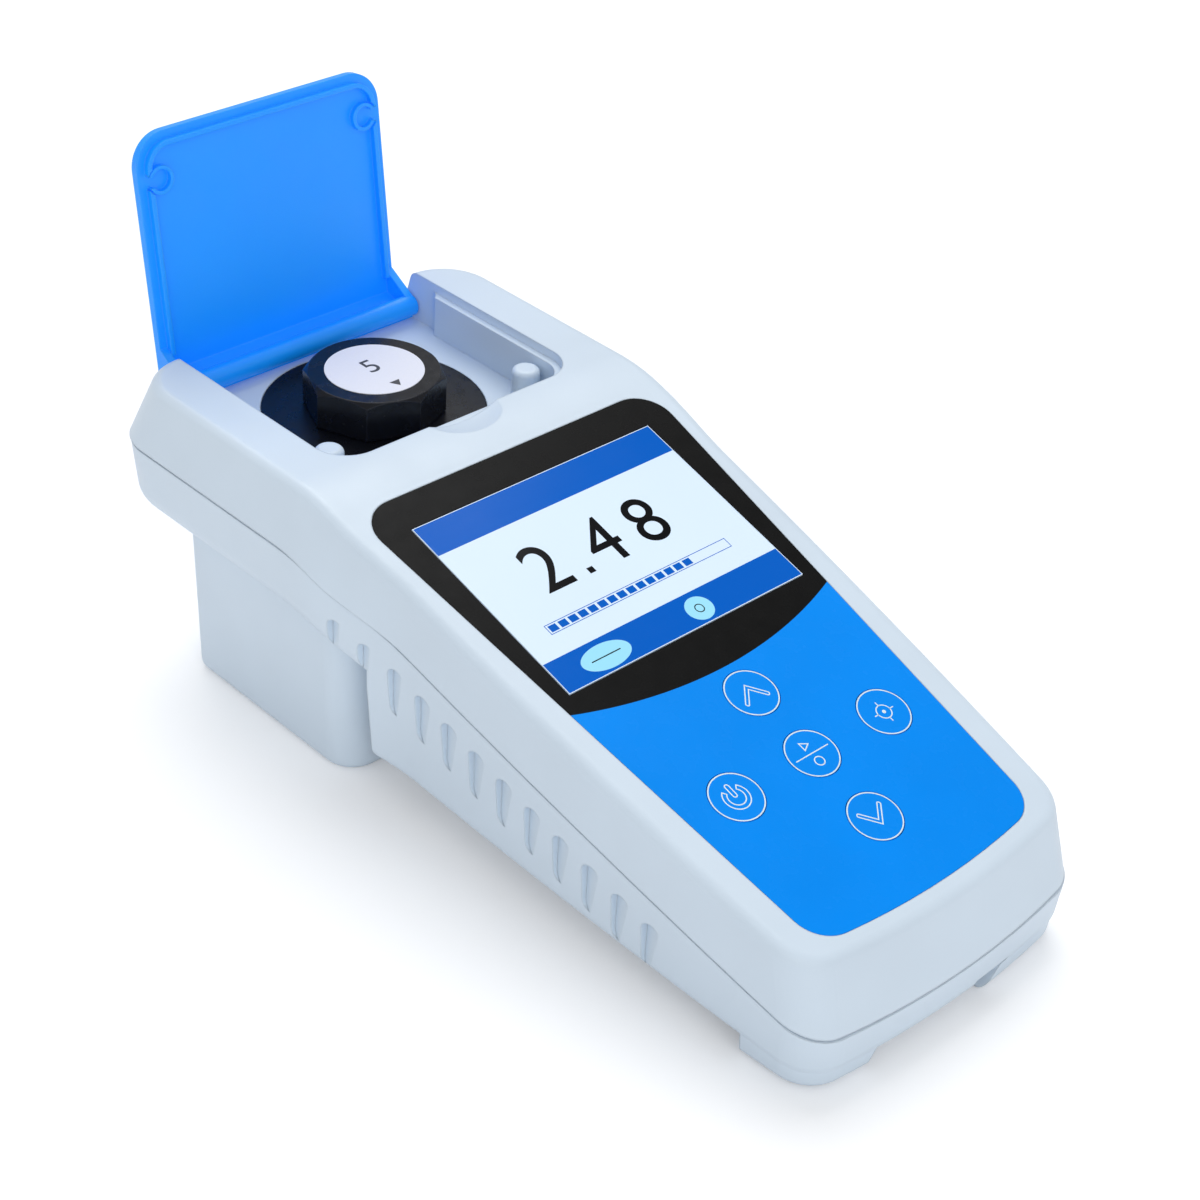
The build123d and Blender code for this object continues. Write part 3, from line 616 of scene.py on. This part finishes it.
collar_black = polished_black("collar_black", (0.0035, 0.0040, 0.0065), 0.28)
finish(collar_black, "well_collar")


# Lid
# A light flap in bright blue plastic, a little translucent, with a lip round its inside and a
# clip boss for each post. It turns on two pins in the recess's walls.

def flap_plastic(name, colour):
    """Bright dyed plastic through which a little light passes, with a faint painted glow in its own
    colour and edges painted lighter as a highlight.
    """
    material, tree, shader, place = new_material(name)
    edge, rounded = edge_highlight_and_rub(tree, 0.0005)
    cloud = spread(tree, noise(tree, place, 26.0), 0.0, 1.0)
    body = mixed(tree, cloud, shade(colour, 0.96), shade(colour, 1.03))
    # Edges are painted brighter than the body: a painted highlight along the rounded edges.
    edge_highlight_colour = tuple(min(1.0, channel * 1.1 + 0.02) for channel in colour)
    tree.links.new(mixed(tree, edge, body, edge_highlight_colour), shader.inputs["Base Color"])
    shader.inputs["Subsurface Weight"].default_value = 0.25
    shader.inputs["Subsurface Radius"].default_value = (0.3, 0.6, 1.0)
    shader.inputs["Subsurface Scale"].default_value = 0.002
    # A faint painted glow in the lid's own colour, standing in for light passing through the
    # plastic.
    shader.inputs["Emission Color"].default_value = (*colour, 1.0)
    shader.inputs["Emission Strength"].default_value = 0.18
    gloss = spread(tree, noise(tree, place, 150.0, 4.0), 0.36, 0.46)
    tree.links.new(gloss, shader.inputs["Roughness"])
    skin = tree.nodes.new("ShaderNodeBump")
    skin.inputs["Strength"].default_value = 0.3
    skin.inputs["Distance"].default_value = 0.000015
    tree.links.new(noise(tree, place, 2400.0), skin.inputs["Height"])
    tree.links.new(rounded, skin.inputs["Normal"])
    tree.links.new(skin.outputs["Normal"], shader.inputs["Normal"])
    return material


finish(flap_plastic("flap_plastic", (0.003, 0.290, 0.985)), "lid")


# Sample vial
# A flat-bottomed vial of clear glass, filled with a slightly cloudy standard, under an
# eight-sided cap of polished black plastic with a foam liner and a round paper label.

finish(clear_glass("vial_glass_clear", (0.97, 0.98, 0.98)), "vial_glass")
finish(clear_glass("cloudy_sample", (0.86, 0.88, 0.87), 0.2), "sample_liquid")
finish(soft_rubber("liner_foam", (0.55, 0.55, 0.53)), "cap_liner")
cap_black = polished_black("cap_black", (0.0045, 0.0050, 0.0075), 0.22)
finish(cap_black, "vial_cap")


def label_paper(name, colour):
    """Coated white paper with a faint fibre."""
    material, tree, shader, place = new_material(name)
    fibre = spread(tree, noise(tree, place, 2600.0, 5.0), 0.0, 1.0)
    tree.links.new(mixed(tree, fibre, shade(colour, 0.97), colour), shader.inputs["Base Color"])
    tree.links.new(spread(tree, noise(tree, place, 800.0), 0.4, 0.55), shader.inputs["Roughness"])
    return material


finish(label_paper("label_paper", (0.80, 0.81, 0.88)), "vial_label")
label_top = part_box("vial_label")[1].z
arrow_radius, arrow_v, mark_v, mark_height = 1.5, -7.3, 1.5, 5.2
arrow = bmesh.new()
bmesh.ops.create_circle(arrow, cap_ends=True, radius=arrow_radius, segments=3)
half_turn = Matrix.Rotation(math.pi, 3, "Z")
bmesh.ops.rotate(arrow, verts=arrow.verts[:], cent=(0, 0, 0), matrix=half_turn)
bmesh.ops.translate(arrow, verts=arrow.verts[:], vec=(0.0, arrow_v, 0.0))
label_place = Matrix.Translation((0.0, 0.0, label_top)) @ Matrix.Scale(0.001, 4)
label_marks = together(arrow, figure("5", 0.0, mark_v, mark_height))
label_print = printed("label_print", label_marks, switch_plastic, "cap", surface=label_place)


# Studio
# A plain white floor that keeps the meter's soft shadow, a white surround, and two broad soft
# lamps, one behind to the right and one in front to the left.

floor_glow = 0.17
floor_mesh = bpy.data.meshes.new("floor")
floor_shape = bmesh.new()
bmesh.ops.create_grid(floor_shape, x_segments=1, y_segments=1, size=4.0)
floor_shape.to_mesh(floor_mesh)
floor_shape.free()
floor = bpy.data.objects.new("floor", floor_mesh)
bpy.context.scene.collection.objects.link(floor)
floor_paint, floor_tree, floor_shader, _ = new_material("floor_paint")
floor_shader.inputs["Base Color"].default_value = (0.93, 0.93, 0.94, 1.0)
floor_shader.inputs["Roughness"].default_value = 0.9
floor_shader.inputs["Specular IOR Level"].default_value = 0.0
seen = floor_tree.nodes.new("ShaderNodeLightPath")
lift = floor_tree.nodes.new("ShaderNodeMath")
lift.operation = "MULTIPLY"
lift.inputs[1].default_value = floor_glow
floor_tree.links.new(seen.outputs["Is Camera Ray"], lift.inputs[0])
floor_tree.links.new(lift.outputs[0], floor_shader.inputs["Emission Strength"])
floor_shader.inputs["Emission Color"].default_value = (1.0, 1.0, 1.0, 1.0)
floor_mesh.materials.append(floor_paint)


def sun(name, strength, direction, softness):
    """A broad lamp far away, shining along a direction."""
    lamp = bpy.data.lights.new(name, "SUN")
    lamp.energy = strength
    lamp.angle = math.radians(softness)
    holder = bpy.data.objects.new(name, lamp)
    holder.rotation_euler = Vector(direction).to_track_quat("-Z", "Y").to_euler()
    bpy.context.scene.collection.objects.link(holder)


sun("key_lamp", strength=1.30, direction=(-0.35, -0.50, -1.0), softness=40.0)
sun("fill_lamp", strength=0.75, direction=(0.50, 0.85, -0.50), softness=60.0)

world = bpy.data.worlds.new("white_surround")
bpy.context.scene.world = world
world.use_nodes = True
sky = world.node_tree
sky.nodes.clear()
sky_out = sky.nodes.new("ShaderNodeOutputWorld")
soft_light = sky.nodes.new("ShaderNodeBackground")
soft_light.inputs["Color"].default_value = (0.97, 0.985, 1.0, 1.0)
soft_light.inputs["Strength"].default_value = 0.58
seen_white = sky.nodes.new("ShaderNodeBackground")
seen_white.inputs["Strength"].default_value = 1.0
seen_white.inputs["Color"].default_value = (1.0, 1.0, 1.0, 1.0)
path = sky.nodes.new("ShaderNodeLightPath")
either = sky.nodes.new("ShaderNodeMath")
either.operation = "MAXIMUM"
sky.links.new(path.outputs["Is Camera Ray"], either.inputs[0])
sky.links.new(path.outputs["Is Transmission Ray"], either.inputs[1])
choose = sky.nodes.new("ShaderNodeMixShader")
sky.links.new(either.outputs[0], choose.inputs["Fac"])
sky.links.new(soft_light.outputs[0], choose.inputs[1])
sky.links.new(seen_white.outputs[0], choose.inputs[2])
sky.links.new(choose.outputs[0], sky_out.inputs["Surface"])

camera_data = bpy.data.cameras.new("camera")
camera_data.lens = 75.40
camera_data.sensor_width = 36.0
camera = bpy.data.objects.new("camera", camera_data)
bpy.context.scene.collection.objects.link(camera)
camera_right = Vector((0.72712843, -0.68451558, 0.0521791))
camera_up = Vector((0.35674361, 0.44170138, 0.82318521))
camera_back = Vector((-0.58653068, -0.57994681, 0.56537019))
camera_place = Vector((-0.29674, -0.36522, 0.32828))
turned = Matrix((camera_right, camera_up, camera_back)).transposed()
camera.matrix_world = Matrix.Translation(camera_place) @ turned.to_4x4()
bpy.context.scene.camera = camera
bpy.context.scene.view_settings.view_transform = "Standard"
